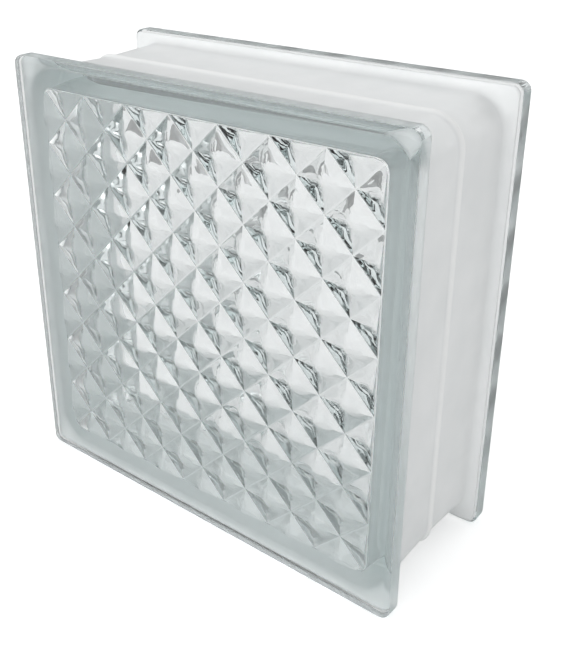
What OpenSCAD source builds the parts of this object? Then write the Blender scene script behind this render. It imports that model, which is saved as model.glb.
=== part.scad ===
// Glass block: two pressed glass half shells fused at a seam half way through the depth.
// X runs across the face, Y through the depth with the front face at -Y, and Z is up.
// The origin is at the middle of the underside, where the two clear rims stand.

/* [Block] */
// Width and height of the square face
face_w = 190; // [188:0.5:192]
// Depth from face to face
block_d = 80; // [76:1:84]

/* [Clear rims] */
// Depth of the clear rim round each face
rim_t = 8.5; // [7:0.5:9.5]
// Corner radius of the rim, seen from the front
rim_corner_r = 4; // [3:0.5:6]
// Rounding of the rim's outer edge
rim_edge_r = 2.5; // [1:0.25:3]
// Rounding of the rim's edge towards the channel
rim_back_r = 1; // [0.5:0.25:1.5]

/* [Edge channel] */
// Depth of the channel below the rims at the foot of a rim
foot_depth = 5; // [4:0.25:6]
// Depth of the channel below the rims beside the seam
seam_depth = 6; // [5:0.25:7]
// Corner radius of the channel floor beside the seam
channel_corner_r = 12; // [10:0.5:14]
// Fillet between the channel floor and a rim
foot_fillet_r = 4; // [2:0.5:4]
// Radius of the weld bead
bead_r = 1.6; // [1.2:0.1:2]
// Height of the weld bead above the channel floor
bead_h = 1.1; // [0.5:0.1:1.3]
// Thickness of the white coating in the channel
coat_t = 0.4; // [0.3:0.05:0.6]

/* [Hollow and pressed relief] */
// Number of whole diamonds across the relief
relief_cells = 7; // [5:1:9]
// Width and height of the relief
relief_w = 164; // [160:1:164]
// Thickness of the face glass at the ridges between the diamonds
ridge_t = 10; // [9:0.5:12]
// Depth of each diamond's pit below the ridges
pit_depth = 3.6; // [2:0.2:5]
// Height of the small step round the relief, from the ridges up to the floor of the hollow
relief_step_h = 0.5; // [0.2:0.1:0.9]
// Width of the hollow at the face glass
hollow_root_w = 166; // [165:0.5:166.5]
// Width of the hollow at the seam
hollow_seam_w = 167; // [166.5:0.5:168]
// Corner radius of the hollow
hollow_corner_r = 5; // [3:0.5:8]

/* [Hidden] */
half_w = face_w / 2;
half_d = block_d / 2;
quarter_turn = 90;
overlap = 1;
curve_sides = 64;
rim_centre = half_w - rim_corner_r;
channel_centre = half_w - seam_depth - channel_corner_r;
foot_r = channel_corner_r + seam_depth - foot_depth;
hollow_centre = hollow_root_w / 2 - hollow_corner_r;
hollow_spread = (hollow_seam_w - hollow_root_w) / 2;
relief_centre = relief_w / 2 - hollow_corner_r;
relief_pitch = relief_w / relief_cells / 2;
hollow_floor = ridge_t + relief_step_h;
relief_steps = 2 * relief_cells + 2;
relief_half = relief_steps / 2 * relief_pitch;

// Carries a profile round a square with round corners. The profile's x is measured
// outwards from the corner centres and its y is the depth below the outer face.
module around_square(centre) {
    for (turn = [0 : quarter_turn : 3 * quarter_turn])
        rotate([0, 0, turn]) {
            translate([centre, 0, 0])
                rotate([quarter_turn, 0, 0])
                    linear_extrude(height = 2 * centre, center = true)
                        children();
            translate([centre, centre, 0])
                rotate_extrude(angle = quarter_turn, $fn = curve_sides)
                    children();
        }
}

// Fills the square between the corner centres over a range of depths.
module core(centre, from, to) {
    translate([-centre, -centre, from])
        cube([2 * centre, 2 * centre, to - from]);
}

// What lies between a square corner and the arc that rounds it.
module corner_piece(r) {
    difference() {
        square(r);
        translate([r, r])
            circle(r = r, $fn = curve_sides);
    }
}

// Section of a rim: round outer edge, flat side to stand on, small round edge behind.
module rim_section() {
    difference() {
        square([rim_corner_r, rim_t]);
        translate([rim_corner_r, 0])
            mirror([1, 0])
                corner_piece(rim_edge_r);
        translate([rim_corner_r, rim_t])
            rotate(2 * quarter_turn)
                corner_piece(rim_back_r);
    }
}

// Section of everything under the channel surface, moved outwards by a layer.
module channel_section(layer) {
    polygon([
        [0, rim_t],
        [foot_r + layer, rim_t],
        [foot_r + layer, rim_t + foot_fillet_r],
        [channel_corner_r + layer, half_d],
        [foot_r + layer, block_d - rim_t - foot_fillet_r],
        [foot_r + layer, block_d - rim_t],
        [0, block_d - rim_t]
    ]);
    translate([foot_r + layer, rim_t])
        corner_piece(foot_fillet_r);
    translate([foot_r + layer, block_d - rim_t])
        mirror([0, 1])
            corner_piece(foot_fillet_r);
    translate([channel_corner_r + layer + bead_h - bead_r, half_d])
        circle(r = bead_r, $fn = curve_sides);
}

// Section of one half's side wall, from inside its rim to the seam.
module wall_section() {
    intersection() {
        channel_section(0);
        square([half_w, half_d]);
    }
    translate([0, rim_t - overlap])
        square([foot_r, overlap]);
}

// Section of the hollow's side, leaning outwards towards the seam.
module hollow_section() {
    polygon([
        [0, hollow_floor],
        [hollow_corner_r, hollow_floor],
        [hollow_corner_r + hollow_spread, half_d],
        [hollow_corner_r + hollow_spread, half_d + overlap],
        [0, half_d + overlap]
    ]);
}

// Depth of the relief at a grid point: ridge crossings and pit bottoms take turns.
function relief_depth(a, b) = (a + b) % 2 == 0 ? ridge_t : ridge_t - pit_depth;
function relief_point(a, b) = [a * relief_pitch - relief_half, b * relief_pitch - relief_half, relief_depth(a, b)];
function relief_index(a, b) = a * (relief_steps + 1) + b;

// Two facets of one grid square, parted along the ridge that crosses it.
function relief_facets(a, b) = let (
    p = relief_index(a, b),
    q = relief_index(a + 1, b),
    r = relief_index(a + 1, b + 1),
    s = relief_index(a, b + 1)
) (a + b) % 2 == 0 ? [[p, q, r], [p, r, s]] : [[p, q, s], [q, r, s]];

// The air above the relief: a block whose underside is the diamond pattern.
module relief_air() {
    steps = relief_steps;
    top = ridge_t + overlap;
    grid = [for (a = [0 : steps]) for (b = [0 : steps]) relief_point(a, b)];
    lid = len(grid);
    corners = [
        [-relief_half, -relief_half, top],
        [relief_half, -relief_half, top],
        [relief_half, relief_half, top],
        [-relief_half, relief_half, top]
    ];
    facets = [for (a = [0 : steps - 1]) for (b = [0 : steps - 1]) each relief_facets(a, b)];
    sides = [
        [lid, lid + 1, for (a = [steps : -1 : 0]) relief_index(a, 0)],
        [lid + 1, lid + 2, for (b = [steps : -1 : 0]) relief_index(steps, b)],
        [lid + 2, lid + 3, for (a = [0 : steps]) relief_index(a, steps)],
        [lid + 3, lid, for (b = [0 : steps]) relief_index(0, b)]
    ];
    polyhedron(
        points = concat(grid, corners),
        faces = concat(facets, sides, [[lid + 3, lid + 2, lid + 1, lid]]),
        convexity = 4
    );
}

// The relief air cut to the relief's outline with its round corners.
module relief() {
    intersection() {
        relief_air();
        union() {
            core(relief_centre, 0, half_d);
            around_square(relief_centre)
                square([hollow_corner_r, half_d]);
        }
    }
}

// The sealed hollow of one half, down to the ridges.
module hollow() {
    core(hollow_centre, hollow_floor, half_d + overlap);
    around_square(hollow_centre)
        hollow_section();
}

// One pressed half with its outer face at depth 0 and its seam at half the depth.
module half_shell() {
    difference() {
        union() {
            core(rim_centre, 0, rim_t);
            around_square(rim_centre)
                rim_section();
            core(channel_centre, rim_t - overlap, half_d);
            around_square(channel_centre)
                wall_section();
        }
        hollow();
        relief();
    }
}

module stand_front() {
    translate([0, -half_d, half_w])
        rotate([-quarter_turn, 0, 0])
            children();
}

module front_half() {
    color([0.80, 0.88, 0.86])
        stand_front()
            half_shell();
}

module back_half() {
    color([0.72, 0.82, 0.80])
        translate([0, half_d, half_w])
            rotate([quarter_turn, 0, 0])
                half_shell();
}

// White coating that lines the channel all round, from rim to rim over the bead.
module edge_coating() {
    color([0.94, 0.94, 0.93])
        stand_front()
            around_square(channel_centre)
                difference() {
                    channel_section(coat_t);
                    channel_section(0);
                }
}

front_half();
back_half();
edge_coating();
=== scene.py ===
"""A hollow glass block: two pressed half shells fused into one piece of clear glass, with a
diamond relief inside both faces and a white coating in the channel round its edges.

Lengths are in metres. X runs across the face, Y through the depth and Z up. A section of the
block is given as an inset from its outer square, a depth behind the front face and the
corner radius that the rounded square has there."""
import math

import bmesh
import bpy
import numpy as np
from mathutils import Matrix, Vector


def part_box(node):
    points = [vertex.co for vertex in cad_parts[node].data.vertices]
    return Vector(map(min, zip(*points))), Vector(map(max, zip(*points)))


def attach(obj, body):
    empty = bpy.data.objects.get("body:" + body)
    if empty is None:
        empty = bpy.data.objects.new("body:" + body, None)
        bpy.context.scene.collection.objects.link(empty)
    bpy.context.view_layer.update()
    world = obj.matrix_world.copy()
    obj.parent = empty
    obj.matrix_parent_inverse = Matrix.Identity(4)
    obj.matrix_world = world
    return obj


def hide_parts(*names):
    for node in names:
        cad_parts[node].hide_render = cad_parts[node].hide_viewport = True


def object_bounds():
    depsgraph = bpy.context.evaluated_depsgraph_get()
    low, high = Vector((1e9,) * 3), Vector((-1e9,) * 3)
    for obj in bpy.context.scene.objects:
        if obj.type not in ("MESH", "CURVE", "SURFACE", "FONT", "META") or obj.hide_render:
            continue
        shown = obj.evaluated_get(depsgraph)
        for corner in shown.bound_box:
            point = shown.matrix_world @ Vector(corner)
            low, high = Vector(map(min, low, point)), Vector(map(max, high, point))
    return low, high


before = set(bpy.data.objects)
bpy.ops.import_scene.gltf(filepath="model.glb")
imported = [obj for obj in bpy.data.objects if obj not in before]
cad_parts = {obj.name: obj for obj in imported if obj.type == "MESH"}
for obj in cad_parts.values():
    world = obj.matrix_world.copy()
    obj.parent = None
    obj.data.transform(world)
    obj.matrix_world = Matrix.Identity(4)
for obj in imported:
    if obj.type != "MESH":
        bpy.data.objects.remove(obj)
CAD_BOX = [list(corner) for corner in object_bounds()]

MM = 0.001
LOW, HIGH = np.array(CAD_BOX)
COAT_LOW, COAT_HIGH = np.array([list(corner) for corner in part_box("edge_coating")])
CENTRE = (LOW + HIGH) / 2
HALF_FACE = (HIGH[0] - LOW[0]) / 2
DEPTH = HIGH[1] - LOW[1]
SEAM = DEPTH / 2

# Points along the rounds, and stops along the sides, which crowd towards the corners over a
# share of each side
EDGE_POINTS = 12
BACK_POINTS = 6
FOOT_POINTS = 10
DRAFT_POINTS = 5
BEAD_POINTS = 9
HOLLOW_POINTS = 7
WALL_POINTS = 7
CORNER_STOPS = 14
CORNER_REACH = 0.2
GLASS_SIDE_STOPS = 4
COAT_SIDE_STOPS = 24
NEARLY_NOTHING = 1e-9

# Clear rims
RIM = COAT_LOW[1] - LOW[1]
RIM_CORNER = 4 * MM
RIM_EDGE = 2.5 * MM
RIM_BACK = 1 * MM
RIM_SATIN = 0.42
RIM_SATIN_START = 0.25 * MM
RIM_SATIN_FULL = 0.05 * MM
FACE_RINGS = [HALF_FACE / 2, 12 * MM, 5 * MM]

# Channel between the rims
FOOT_INSET = 5 * MM
SEAM_INSET = 6 * MM
CHANNEL_CORNER = 12 * MM
FOOT_FILLET = 4 * MM
BEAD_HEIGHT = 1.1 * MM
BEAD_SPREAD = 1.3 * MM
BEAD_REACH = 3 * BEAD_SPREAD
# Painted highlight on the weld bead: the coat's colour is lightened within these distances of the seam
BEAD_HIGHLIGHT_EDGE = 1.8 * BEAD_SPREAD
BEAD_HIGHLIGHT_CORE = 0.6 * BEAD_SPREAD
COAT = 0.35 * MM
COAT_BITE = 0.08 * MM
COAT_DULL = (0.785, 0.80, 0.80, 1)
COAT_PALE = (0.835, 0.845, 0.845, 1)
# Painted highlight: the lighter coat tone over the weld bead
BEAD_HIGHLIGHT_TONE = (0.90, 0.905, 0.90, 1)

# Relief and hollow
RELIEF_CELLS = 7
RELIEF_HALF = 82 * MM
RELIEF_CORNER = 5 * MM
RELIEF_CORNER_SHARE = 0.2
RIDGE_DEPTH = 10 * MM
PIT = 3.6 * MM
RIDGE_ROUND = 0.014
TIP_ROUND = 0.1
TIP_REACH = 0.2
HOLLOW_FLOOR = 10 * MM
HOLLOW_ROOT_INSET = HALF_FACE - 82.5 * MM
HOLLOW_SEAM_INSET = HALF_FACE - 83.5 * MM
HOLLOW_FILLET = 0.5 * MM
HOLLOW_CORNER = 5 * MM
SHARP_CREASE = math.radians(18)
GLASS_WELD = 0.002 * MM
COAT_WELD = 0.001 * MM
GLASS_TINT = (0.55, 0.82, 0.82, 1)
WHITE = (1, 1, 1, 1)

# Sockets that share a name: the two inputs and the output of a Mix node in colour, and the two
# inputs of a Mix Shader node
MIX_FIRST = 6
MIX_SECOND = 7
MIX_RESULT = 2
SHADER_FIRST = 1
SHADER_SECOND = 2

# Studio: levels of brightness, heights in degrees between the bands of the surroundings, and
# each band's levels in equal sectors about Z, counted from the left of the block by way of its
# front. Bright panels stand at the front left and behind on the right.
BRIGHT = 0.95
SOFT = 0.6
MUTED = 0.42
DIM = 0.24
DARK = 0.13
SKY_HEIGHTS = [18, 42, 68]
SKY_BLEND = 4
SKY_STRENGTH = 2.2
SKY_TINT = (0.993, 1.0, 1.003)
SKY_RINGS = [
    [MUTED, BRIGHT, BRIGHT, DIM, DARK, BRIGHT, DARK, DARK],
    [SOFT, BRIGHT, SOFT, DIM, DARK, BRIGHT, SOFT, SOFT],
    [MUTED, SOFT, DARK, DARK, MUTED, DIM],
    [DARK, DARK],
]
FLOOR_LIFT = 0.4
FLOOR_REACH = 6.0
FLOOR_GAP = 0.05 * MM

# Camera: where it stands, and its angles in degrees round Z from the front, upwards and rolled
CAMERA_PLACE = (224.7 * MM, -277.6 * MM, 267.7 * MM)
CAMERA_AZIMUTH = 41.07
CAMERA_HEIGHT = 24.28
CAMERA_ROLL = -1.29


# ---------------------------------------------------------------- shapes


def arc(centre, radius, start, end, count):
    """Points on a circle from one angle to another, in degrees: centre + radius (cos, sin)."""
    angle = np.radians(np.linspace(start, end, count))
    return np.stack([centre[0] + radius * np.cos(angle), centre[1] + radius * np.sin(angle)], 1)


def round_corner(main, along, corner):
    """Rounds the corners of a square ring. A point lies at half size main and at along on its
    side; the last stretch of a side, as long as the corner radius, is bent onto an eighth turn
    of the corner's circle, so a side keeps its points in order and corners meet."""
    corner = np.maximum(corner, NEARLY_NOTHING)
    flat = main - corner
    turn = np.clip((np.abs(along) - flat) / corner, 0, 1) * math.pi / 4
    bent = turn > 0
    new_main = np.where(bent, flat + corner * np.cos(turn), main)
    new_along = np.where(bent, np.sign(along) * (flat + corner * np.sin(turn)), along)
    return new_main, new_along


def square_rings(half, corner, stops):
    """Rounded squares, one per row, run anticlockwise as seen from the front: each of the four
    sides takes the stops from -1 up to 1, scaled to its half size and turned a quarter on."""
    half, corner = np.atleast_1d(half)[:, None], np.atleast_1d(corner)[:, None]
    main, along = round_corner(half, half * stops[None, :-1], corner)
    sides = [(main, along), (-along, main), (-main, -along), (along, -main)]
    return np.stack([np.concatenate([s[0] for s in sides], 1), np.concatenate([s[1] for s in sides], 1)], -1)


def block_points(across, up, depth):
    """Block axes to room axes: across and up from the face's middle, depth from the front face."""
    x, z, y = np.broadcast_arrays(across + CENTRE[0], up + CENTRE[2], depth + LOW[1])
    return np.stack([x, y, z], -1).reshape(-1, 3)


def swept_rings(section, stops):
    """Carries a section, whose rows are inset, depth and corner radius, round the block."""
    rings = square_rings(HALF_FACE - section[:, 0], section[:, 2], stops)
    return block_points(rings[..., 0], rings[..., 1], section[:, 1][:, None])


def strip_faces(rows, columns, inward=False):
    """Four-cornered faces between neighbouring rings, closed round each ring. They point away
    from the block's middle, or towards it for the skin of the hollow."""
    row, column = np.mgrid[0:rows - 1, 0:columns]
    after = (column + 1) % columns
    a, b = row * columns + column, (row + 1) * columns + column
    c, d = (row + 1) * columns + after, row * columns + after
    order = [a, d, c, b] if inward else [a, b, c, d]
    return np.stack(order, -1).reshape(-1, 4)


def mirrored_section(half_section):
    """A section up to the seam, followed by itself turned back to front."""
    back = half_section[::-1].copy()
    back[:, 1] = DEPTH - back[:, 1]
    return np.concatenate([half_section, back[1:]])


def corner_stops(straight, bent, reach):
    """Stops along one side from -1 to 1: a few on the straight, then closer and closer over
    the last stretch of length reach, by the square of the distance to the corner."""
    tail = 1 - reach * np.linspace(1, 0, bent + 1) ** 2
    middle = np.linspace(-(1 - reach), 1 - reach, straight + 1)
    return np.concatenate([-tail[::-1], middle[1:-1], tail])


def new_piece(name, points, faces, material, sharp=None, weld=0.0):
    """Makes a mesh piece from arrays of points and of faces, smooth apart from sharp creases."""
    mesh = bpy.data.meshes.new(name)
    mesh.from_pydata(points.tolist(), [], [face.tolist() for block in faces for face in block])
    if weld:
        work = bmesh.new()
        work.from_mesh(mesh)
        bmesh.ops.remove_doubles(work, verts=work.verts, dist=weld)
        work.to_mesh(mesh)
        work.free()
    mesh.polygons.foreach_set("use_smooth", np.ones(len(mesh.polygons), dtype=bool))
    if sharp is not None:
        mesh.set_sharp_from_angle(angle=sharp)
    mesh.materials.append(material)
    piece = bpy.data.objects.new(name, mesh)
    bpy.context.scene.collection.objects.link(piece)
    return piece


# ---------------------------------------------------------------- sections


def channel_inset(depth):
    """How far the channel floor lies below the rims: a straight draft from the rim's foot to
    the seam, with the weld bead on it as a bell curve."""
    foot = RIM + FOOT_FILLET
    share = np.clip((depth - foot) / (SEAM - foot), 0, 1)
    floor = FOOT_INSET + (SEAM_INSET - FOOT_INSET) * share
    return floor - BEAD_HEIGHT * np.exp(-((depth - SEAM) / BEAD_SPREAD) ** 2)


def channel_section():
    """Foot fillet, draft and half of the bead, from the rim to the seam. The corner radius
    grows over the fillet from the rim's to the channel's."""
    fillet = arc((FOOT_INSET - FOOT_FILLET, RIM + FOOT_FILLET), FOOT_FILLET, -90, 0, FOOT_POINTS)
    floor_depth = np.linspace(RIM + FOOT_FILLET, SEAM - BEAD_REACH, DRAFT_POINTS)[1:]
    bead_depth = np.linspace(SEAM - BEAD_REACH, SEAM, BEAD_POINTS)[1:]
    depth = np.concatenate([floor_depth, bead_depth])
    section = np.concatenate([fillet, np.stack([channel_inset(depth), depth], 1)])
    climb = np.clip((section[:, 0] - (FOOT_INSET - FOOT_FILLET)) / FOOT_FILLET, 0, 1)
    corner = (RIM_CORNER - RIM_BACK) * (1 - climb) + (CHANNEL_CORNER + SEAM_INSET - section[:, 0]) * climb
    return np.column_stack([section, corner])


def outer_section():
    """Face, rounded edge, rim and channel, from the middle of the front face to the seam."""
    level = np.zeros(len(FACE_RINGS))
    face = np.column_stack([FACE_RINGS, level, level])
    edge = arc((RIM_EDGE, RIM_EDGE), RIM_EDGE, -90, -180, EDGE_POINTS)
    back = arc((RIM_BACK, RIM - RIM_BACK), RIM_BACK, 180, 90, BACK_POINTS)
    rim = np.concatenate([edge, back])
    rim = np.column_stack([rim, RIM_CORNER - rim[:, 0]])
    return np.concatenate([face, rim, channel_section()[1:]])


def hollow_section():
    """Fillet and leaning wall of the hollow, from its floor round the relief up to the seam."""
    root_centre = (HOLLOW_ROOT_INSET + HOLLOW_FILLET, HOLLOW_FLOOR + HOLLOW_FILLET)
    root = arc(root_centre, HOLLOW_FILLET, -90, -180, HOLLOW_POINTS)
    wall_depth = np.linspace(HOLLOW_FLOOR + HOLLOW_FILLET, SEAM, WALL_POINTS)[1:]
    share = (wall_depth - wall_depth[0]) / (wall_depth[-1] - wall_depth[0])
    wall_inset = HOLLOW_ROOT_INSET + (HOLLOW_SEAM_INSET - HOLLOW_ROOT_INSET) * share
    section = np.concatenate([root, np.stack([wall_inset, wall_depth], 1)])
    return np.column_stack([section, np.full(len(section), HOLLOW_CORNER)])


# ---------------------------------------------------------------- relief


def ridge_stops():
    """Distances from a ridge to the middle of a diamond, closer together by the ridge."""
    return np.array([0, 0.008, 0.018, 0.04, 0.1, 0.2, 0.29, 0.37, 0.44, 0.5])


def pit_share(distance, sideways):
    """How far down the pit a facet is, where 1 is where the four slopes would meet. A point is
    at a distance from its ridge and some way sideways of the facet's middle. Its reach from
    the pit's middle is measured squarely by the ridges and, under a bell curve, roundly by the
    tip; one hyperbola over the reach rounds the tip and one over the rest rounds the ridge."""
    across = 0.5 - distance
    roundness = np.exp(-((across / TIP_REACH) ** 2))
    reach = np.sqrt(across**2 + roundness * sideways**2 + TIP_ROUND**2)
    below = math.sqrt(0.25 + TIP_ROUND**2) - reach
    return 2 * (np.sqrt(below**2 + RIDGE_ROUND**2) - RIDGE_ROUND)


def facet_template():
    """One facet of a diamond on a triangular grid. Rows run along the ridge, the last row is
    the diamond's middle. Gives each point's share of the way to two neighbouring corners of
    the diamond, its share of the pit's depth, and the faces."""
    half = ridge_stops()
    stops = np.concatenate([half, 1 - half[-2::-1]])
    last = len(half) - 1
    row, column = np.mgrid[0:last + 1, 0:2 * last + 1]
    used = (column >= row) & (column <= 2 * last - row)
    number = np.cumsum(used.ravel()).reshape(used.shape) - 1
    distance, along = half[row[used]], stops[column[used]]
    first, second = along - distance, 1 - distance - along
    share = pit_share(distance, along - 0.5)
    row, column = row[:-1], column[:-1]
    left, right = column == row, column == 2 * last - 1 - row
    quad = (column > row) & (column < 2 * last - 1 - row)

    def corners(mask, *steps):
        """Numbers of the points at the given steps down and along from each masked place."""
        return np.stack([number[row[mask] + down, column[mask] + on] for down, on in steps], -1)

    quads = corners(quad, (0, 0), (0, 1), (1, 1), (1, 0))
    triangles = np.concatenate([
        corners(left, (0, 0), (0, 1), (1, 1)),
        corners(right, (0, 0), (0, 1), (1, 0)),
    ])
    return first, second, share, quads, triangles


def relief_mesh():
    """The diamond relief of the front half in block axes: on a chequerboard of half pitches
    every other crossing is the middle of a pit, and four facets run from it to the ridges
    between the crossings round it. Facets outside the square are left out."""
    first, second, share, quads, triangles = facet_template()
    span = np.arange(-RELIEF_CELLS, RELIEF_CELLS + 1)
    pit_x, pit_z = np.meshgrid(span, span, indexing="ij")
    pits = np.stack([pit_x, pit_z], -1)[(pit_x + pit_z) % 2 == 1]
    ways = np.array([[1, 0], [0, 1], [-1, 0], [0, -1]])
    middle, way = np.meshgrid(np.arange(len(pits)), np.arange(4), indexing="ij")
    middle, way = pits[middle.ravel()], way.ravel()
    to_first, to_second = ways[way], ways[(way + 1) % 4]
    inside = np.abs(middle + (to_first + to_second) / 3).max(1) < RELIEF_CELLS
    middle, to_first, to_second = middle[inside], to_first[inside], to_second[inside]
    grid = (
        middle[:, None]
        + first[None, :, None] * to_first[:, None]
        + second[None, :, None] * to_second[:, None]
    )
    depth = np.broadcast_to(RIDGE_DEPTH - PIT * share, grid.shape[:2])
    offset = (np.arange(len(grid)) * len(first))[:, None, None]
    quads = (quads[None] + offset).reshape(-1, 4)
    triangles = (triangles[None] + offset).reshape(-1, 3)
    across, up = soften_corners(*(grid.reshape(-1, 2) * RELIEF_HALF / RELIEF_CELLS).T)
    return across, up, depth.ravel(), quads, triangles


def soften_corners(across, up):
    """Rounds the relief's outline: square rings of points near the outline take its corner
    radius, which fades away inwards, by the square, over an outer share of the relief."""
    main, sideways = np.maximum(np.abs(across), np.abs(up)), np.abs(up) > np.abs(across)
    along = np.where(sideways, across, up)
    sign = np.sign(np.where(sideways, up, across))
    start = 1 - RELIEF_CORNER_SHARE
    fade = np.clip((main / RELIEF_HALF - start) / RELIEF_CORNER_SHARE, 0, 1) ** 2
    main, along = round_corner(main, along, RELIEF_CORNER * fade)
    return np.where(sideways, along, sign * main), np.where(sideways, sign * main, along)


def relief_outline():
    """Stops along one side of the relief from corner to corner, with the relief's depth at
    each: on the outline a facet's rows are crossed twice as far apart as they are spaced."""
    half = ridge_stops()
    rising, falling = 2 * half[:-1], 1 - 2 * half[:0:-1]
    share = pit_share(half, 0.5 - half)
    starts = np.arange(-RELIEF_CELLS, RELIEF_CELLS)[:, None]
    even = (starts + RELIEF_CELLS) % 2 == 0
    stops = starts + np.where(even, rising[None], falling[None])
    depth = np.where(even, share[None, :-1], share[None, :0:-1])
    stops = np.append(stops.ravel(), RELIEF_CELLS) / RELIEF_CELLS
    return stops, RIDGE_DEPTH - PIT * depth.ravel()


# ---------------------------------------------------------------- pieces


def glass_mesh():
    """The fused glass: an outer skin swept round the block and closed across both faces, and
    the skin of the sealed hollow, whose ends are the two reliefs."""
    stops = corner_stops(GLASS_SIDE_STOPS, CORNER_STOPS, CORNER_REACH)
    section = mirrored_section(outer_section())
    outer = swept_rings(section, stops)
    columns = 4 * (len(stops) - 1)
    outer_faces = strip_faces(len(section), columns)
    poles = block_points(np.zeros(2), np.zeros(2), np.array([0, DEPTH]))
    column = np.arange(columns)
    after = (column + 1) % columns
    front_pole, back_pole = len(outer), len(outer) + 1
    last = (len(section) - 1) * columns
    caps = np.concatenate([
        np.stack([np.full(columns, front_pole), column, after], 1),
        np.stack([np.full(columns, back_pole), last + after, last + column], 1),
    ])

    outline, outline_depth = relief_outline()
    wall = mirrored_section(hollow_section())
    wall_points = swept_rings(wall, outline)
    rim = square_rings(RELIEF_HALF, RELIEF_CORNER, outline)[0]
    ring_depth = np.tile(outline_depth, 4)
    front_rim = block_points(rim[:, 0], rim[:, 1], ring_depth)
    front_lip = block_points(rim[:, 0], rim[:, 1], HOLLOW_FLOOR)
    back_lip = block_points(rim[:, 0], rim[:, 1], DEPTH - HOLLOW_FLOOR)
    back_rim = block_points(rim[:, 0], rim[:, 1], DEPTH - ring_depth)
    hollow = np.concatenate([front_rim, front_lip, wall_points, back_lip, back_rim])
    hollow_faces = strip_faces(len(hollow) // len(rim), len(rim), inward=True)

    across, up, depth, quads, triangles = relief_mesh()
    front = block_points(across, up, depth)
    back = block_points(across, up, DEPTH - depth)
    points = np.concatenate([outer, poles, hollow, front, back])
    hollow_start = len(outer) + len(poles)
    front_start = hollow_start + len(hollow)
    back_start = front_start + len(front)
    faces = [
        outer_faces,
        caps,
        hollow_faces + hollow_start,
        quads + front_start,
        triangles + front_start,
        quads[:, ::-1] + back_start,
        triangles[:, ::-1] + back_start,
    ]
    return points, faces


def coating_mesh():
    """The white coat: the channel's section set a little into the glass and carried back at
    the coat's thickness, so that it is one closed skin from rim to rim."""
    stops = corner_stops(COAT_SIDE_STOPS, CORNER_STOPS, CORNER_REACH)
    section = mirrored_section(channel_section())
    tangent = np.gradient(section[:, :2], axis=0)
    tangent /= np.linalg.norm(tangent, axis=1)[:, None]
    outwards = np.stack([-tangent[:, 1], tangent[:, 0]], 1)

    def layer(shift):
        """The section moved outwards, across its own line, by a shift."""
        moved = section.copy()
        moved[:, :2] += outwards * shift
        return moved

    loop = np.concatenate([layer(COAT), layer(-COAT_BITE)[::-1]])
    loop = np.concatenate([loop, loop[:1]])
    columns = 4 * (len(stops) - 1)
    return swept_rings(loop, stops), [strip_faces(len(loop), columns)]


# ---------------------------------------------------------------- materials


def new_material(name):
    """A material with its nodes, its links and its shader."""
    material = bpy.data.materials.new(name)
    material.use_nodes = True
    nodes, links = material.node_tree.nodes, material.node_tree.links
    return material, nodes, links, nodes["Principled BSDF"]


def square_reach(nodes, links, place):
    """Distance from the block's middle measured squarely: the greater of those across and up."""
    parts = nodes.new("ShaderNodeSeparateXYZ")
    across = nodes.new("ShaderNodeMath")
    across.operation = "ABSOLUTE"
    rise = nodes.new("ShaderNodeMath")
    rise.operation = "SUBTRACT"
    rise.inputs[1].default_value = CENTRE[2]
    up = nodes.new("ShaderNodeMath")
    up.operation = "ABSOLUTE"
    reach = nodes.new("ShaderNodeMath")
    reach.operation = "MAXIMUM"
    links.new(place.outputs["Object"], parts.inputs["Vector"])
    links.new(parts.outputs["X"], across.inputs[0])
    links.new(parts.outputs["Z"], rise.inputs[0])
    links.new(rise.outputs["Value"], up.inputs[0])
    links.new(across.outputs["Value"], reach.inputs[0])
    links.new(up.outputs["Value"], reach.inputs[1])
    return reach.outputs["Value"]


def clear_glass():
    """Clear pressed glass, faintly green through its thickness, with soft waves on its skin and
    a satin finish on the outer sides of the rims."""
    material, nodes, links, shader = new_material("clear_glass")
    shader.inputs["Base Color"].default_value = WHITE
    shader.inputs["IOR"].default_value = 1.52
    shader.inputs["Transmission Weight"].default_value = 1.0
    place = nodes.new("ShaderNodeTexCoord")
    waves = nodes.new("ShaderNodeTexNoise")
    waves.inputs["Scale"].default_value = 45
    waves.inputs["Detail"].default_value = 1.0
    bump = nodes.new("ShaderNodeBump")
    bump.inputs["Strength"].default_value = 0.08
    bump.inputs["Distance"].default_value = 1 * MM
    satin = nodes.new("ShaderNodeMapRange")
    satin.inputs["From Min"].default_value = HALF_FACE - RIM_SATIN_START
    satin.inputs["From Max"].default_value = HALF_FACE - RIM_SATIN_FULL
    satin.inputs["To Max"].default_value = RIM_SATIN
    links.new(square_reach(nodes, links, place), satin.inputs["Value"])
    links.new(satin.outputs["Result"], shader.inputs["Roughness"])
    links.new(place.outputs["Object"], waves.inputs["Vector"])
    links.new(waves.outputs["Fac"], bump.inputs["Height"])
    links.new(bump.outputs["Normal"], shader.inputs["Normal"])
    tint = nodes.new("ShaderNodeVolumeAbsorption")
    tint.inputs["Color"].default_value = GLASS_TINT
    tint.inputs["Density"].default_value = 4
    links.new(tint.outputs["Volume"], nodes["Material Output"].inputs["Volume"])
    return material


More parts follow.
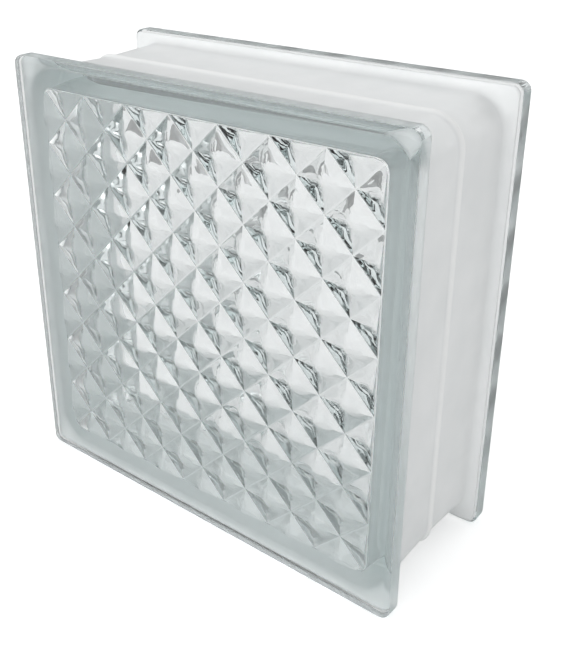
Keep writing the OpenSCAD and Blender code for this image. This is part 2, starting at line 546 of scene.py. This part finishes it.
def white_coat():
    """Satin white coat with a faint mottle and small unevenness, and a painted highlight along
    the weld bead, where its colour is painted lighter towards the seam."""
    material, nodes, links, shader = new_material("white_coat")
    shader.inputs["Roughness"].default_value = 0.36
    place = nodes.new("ShaderNodeTexCoord")
    mottle = nodes.new("ShaderNodeTexNoise")
    mottle.inputs["Scale"].default_value = 60
    mottle.inputs["Detail"].default_value = 4
    tones = nodes.new("ShaderNodeValToRGB")
    tones.color_ramp.elements[0].position = 0.3
    tones.color_ramp.elements[0].color = COAT_DULL
    tones.color_ramp.elements[1].position = 0.7
    tones.color_ramp.elements[1].color = COAT_PALE
    parts = nodes.new("ShaderNodeSeparateXYZ")
    off_seam = nodes.new("ShaderNodeMath")
    off_seam.operation = "ABSOLUTE"
    # Painted highlight: mask that lightens the coat towards the seam, over the weld bead
    bead = nodes.new("ShaderNodeMapRange")
    bead.interpolation_type = "SMOOTHSTEP"
    bead.inputs["From Min"].default_value = BEAD_HIGHLIGHT_EDGE
    bead.inputs["From Max"].default_value = BEAD_HIGHLIGHT_CORE
    bead_highlight = nodes.new("ShaderNodeMix")
    bead_highlight.data_type = "RGBA"
    bead_highlight.inputs[MIX_SECOND].default_value = BEAD_HIGHLIGHT_TONE
    bump = nodes.new("ShaderNodeBump")
    bump.inputs["Strength"].default_value = 0.2
    bump.inputs["Distance"].default_value = 0.3 * MM
    links.new(place.outputs["Object"], mottle.inputs["Vector"])
    links.new(place.outputs["Object"], parts.inputs["Vector"])
    links.new(parts.outputs["Y"], off_seam.inputs[0])
    links.new(off_seam.outputs["Value"], bead.inputs["Value"])
    links.new(mottle.outputs["Fac"], tones.inputs["Fac"])
    links.new(bead.outputs["Result"], bead_highlight.inputs["Factor"])
    links.new(tones.outputs["Color"], bead_highlight.inputs[MIX_FIRST])
    links.new(bead_highlight.outputs[MIX_RESULT], shader.inputs["Base Color"])
    links.new(mottle.outputs["Fac"], bump.inputs["Height"])
    links.new(bump.outputs["Normal"], shader.inputs["Normal"])
    return material


def floor_finish():
    """Plain pale matt floor. It looks a little lighter to the camera than it lights the block,
    so that it stays pale beside the bright glass."""
    material, nodes, links, shader = new_material("studio_floor")
    shader.inputs["Base Color"].default_value = (0.9, 0.9, 0.9, 1)
    shader.inputs["Roughness"].default_value = 0.7
    shader.inputs["Emission Color"].default_value = WHITE
    ray = nodes.new("ShaderNodeLightPath")
    lift = nodes.new("ShaderNodeMath")
    lift.operation = "MULTIPLY"
    lift.inputs[1].default_value = FLOOR_LIFT
    links.new(ray.outputs["Is Camera Ray"], lift.inputs[0])
    links.new(lift.outputs["Value"], shader.inputs["Emission Strength"])
    return material


# ---------------------------------------------------------------- studio


def make_floor():
    """A wide flat sheet just under the block."""
    square = np.array([[-1, -1, 0], [1, -1, 0], [1, 1, 0], [-1, 1, 0]])
    corners = FLOOR_REACH * square + [0, 0, LOW[2] - FLOOR_GAP]
    floor = new_piece("studio_floor", corners, [np.array([[0, 1, 2, 3]])], floor_finish())


def ring_ramp(nodes, links, around, values):
    """A ring of brightness round the block: equal sectors from -180 to 180 degrees about Z, with
    even slopes between the sectors' middles."""
    ramp = nodes.new("ShaderNodeValToRGB")
    count = len(values)
    places = [0] + [(number + 0.5) / count for number in range(count)] + [1]
    joint = (values[0] + values[-1]) / 2
    tones = [joint] + list(values) + [joint]
    for _ in range(count):
        ramp.color_ramp.elements.new(0.5)
    for element, place, tone in zip(ramp.color_ramp.elements, places, tones):
        element.position = place
        element.color = (*(tone * share for share in SKY_TINT), 1)
    links.new(around.outputs["Fac"], ramp.inputs["Fac"])
    return ramp.outputs["Color"]


def make_world():
    """Soft studio surroundings: rings of brightness, one for each band of height, blended over a
    few degrees where the bands meet. The camera itself sees plain white."""
    world = bpy.data.worlds.new("studio")
    bpy.context.scene.world = world
    world.use_nodes = True
    nodes, links = world.node_tree.nodes, world.node_tree.links
    place = nodes.new("ShaderNodeTexCoord")
    parts = nodes.new("ShaderNodeSeparateXYZ")
    links.new(place.outputs["Generated"], parts.inputs["Vector"])
    around = nodes.new("ShaderNodeTexGradient")
    around.gradient_type = "RADIAL"
    links.new(place.outputs["Generated"], around.inputs["Vector"])
    sky = ring_ramp(nodes, links, around, SKY_RINGS[0])
    for height, values in zip(SKY_HEIGHTS, SKY_RINGS[1:]):
        climb = nodes.new("ShaderNodeMapRange")
        climb.interpolation_type = "SMOOTHSTEP"
        climb.inputs["From Min"].default_value = math.sin(math.radians(height - SKY_BLEND))
        climb.inputs["From Max"].default_value = math.sin(math.radians(height + SKY_BLEND))
        links.new(parts.outputs["Z"], climb.inputs["Value"])
        band = nodes.new("ShaderNodeMix")
        band.data_type = "RGBA"
        links.new(climb.outputs["Result"], band.inputs["Factor"])
        links.new(sky, band.inputs[MIX_FIRST])
        links.new(ring_ramp(nodes, links, around, values), band.inputs[MIX_SECOND])
        sky = band.outputs[MIX_RESULT]
    lighting = nodes["Background"]
    lighting.inputs["Strength"].default_value = SKY_STRENGTH
    links.new(sky, lighting.inputs["Color"])
    backdrop = nodes.new("ShaderNodeBackground")
    backdrop.inputs["Color"].default_value = WHITE
    ray = nodes.new("ShaderNodeLightPath")
    chosen = nodes.new("ShaderNodeMixShader")
    links.new(ray.outputs["Is Camera Ray"], chosen.inputs["Fac"])
    links.new(lighting.outputs["Background"], chosen.inputs[SHADER_FIRST])
    links.new(backdrop.outputs["Background"], chosen.inputs[SHADER_SECOND])
    links.new(chosen.outputs["Shader"], nodes["World Output"].inputs["Surface"])


def make_camera():
    """A close camera above and to the right of the front face, rolled slightly."""
    azimuth, elevation, roll = (math.radians(a) for a in (CAMERA_AZIMUTH, CAMERA_HEIGHT, CAMERA_ROLL))
    back = Vector((
        math.sin(azimuth) * math.cos(elevation),
        -math.cos(azimuth) * math.cos(elevation),
        math.sin(elevation),
    ))
    right = (-back).cross(Vector((0, 0, 1))).normalized()
    up = right.cross(-back)
    turned_right = math.cos(roll) * right + math.sin(roll) * up
    turned_up = -math.sin(roll) * right + math.cos(roll) * up
    camera_data = bpy.data.cameras.new("camera")
    camera_data.sensor_width = 36
    camera_data.lens = 51.8
    camera_data.shift_x = 0.092
    camera_data.shift_y = -0.092
    camera_data.clip_start = 0.01
    camera = bpy.data.objects.new("camera", camera_data)
    pose = Matrix((turned_right, turned_up, back)).transposed().to_4x4()
    pose.translation = Vector(CAMERA_PLACE)
    camera.matrix_world = pose
    bpy.context.scene.collection.objects.link(camera)
    bpy.context.scene.camera = camera


# ---------------------------------------------------------------- scene

glass = new_piece("glass_block", *glass_mesh(), clear_glass(), sharp=SHARP_CREASE, weld=GLASS_WELD)
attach(glass, "root")
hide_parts("front_half", "back_half")

coat = new_piece("white_channel_coat", *coating_mesh(), white_coat(), weld=COAT_WELD)
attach(coat, "root")
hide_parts("edge_coating")

make_floor()
make_world()
make_camera()

studio = bpy.context.scene
studio.view_settings.view_transform = "Standard"
studio.cycles.max_bounces = 40
studio.cycles.diffuse_bounces = 16
studio.cycles.glossy_bounces = 5
studio.cycles.transmission_bounces = 40
studio.cycles.blur_glossy = 0
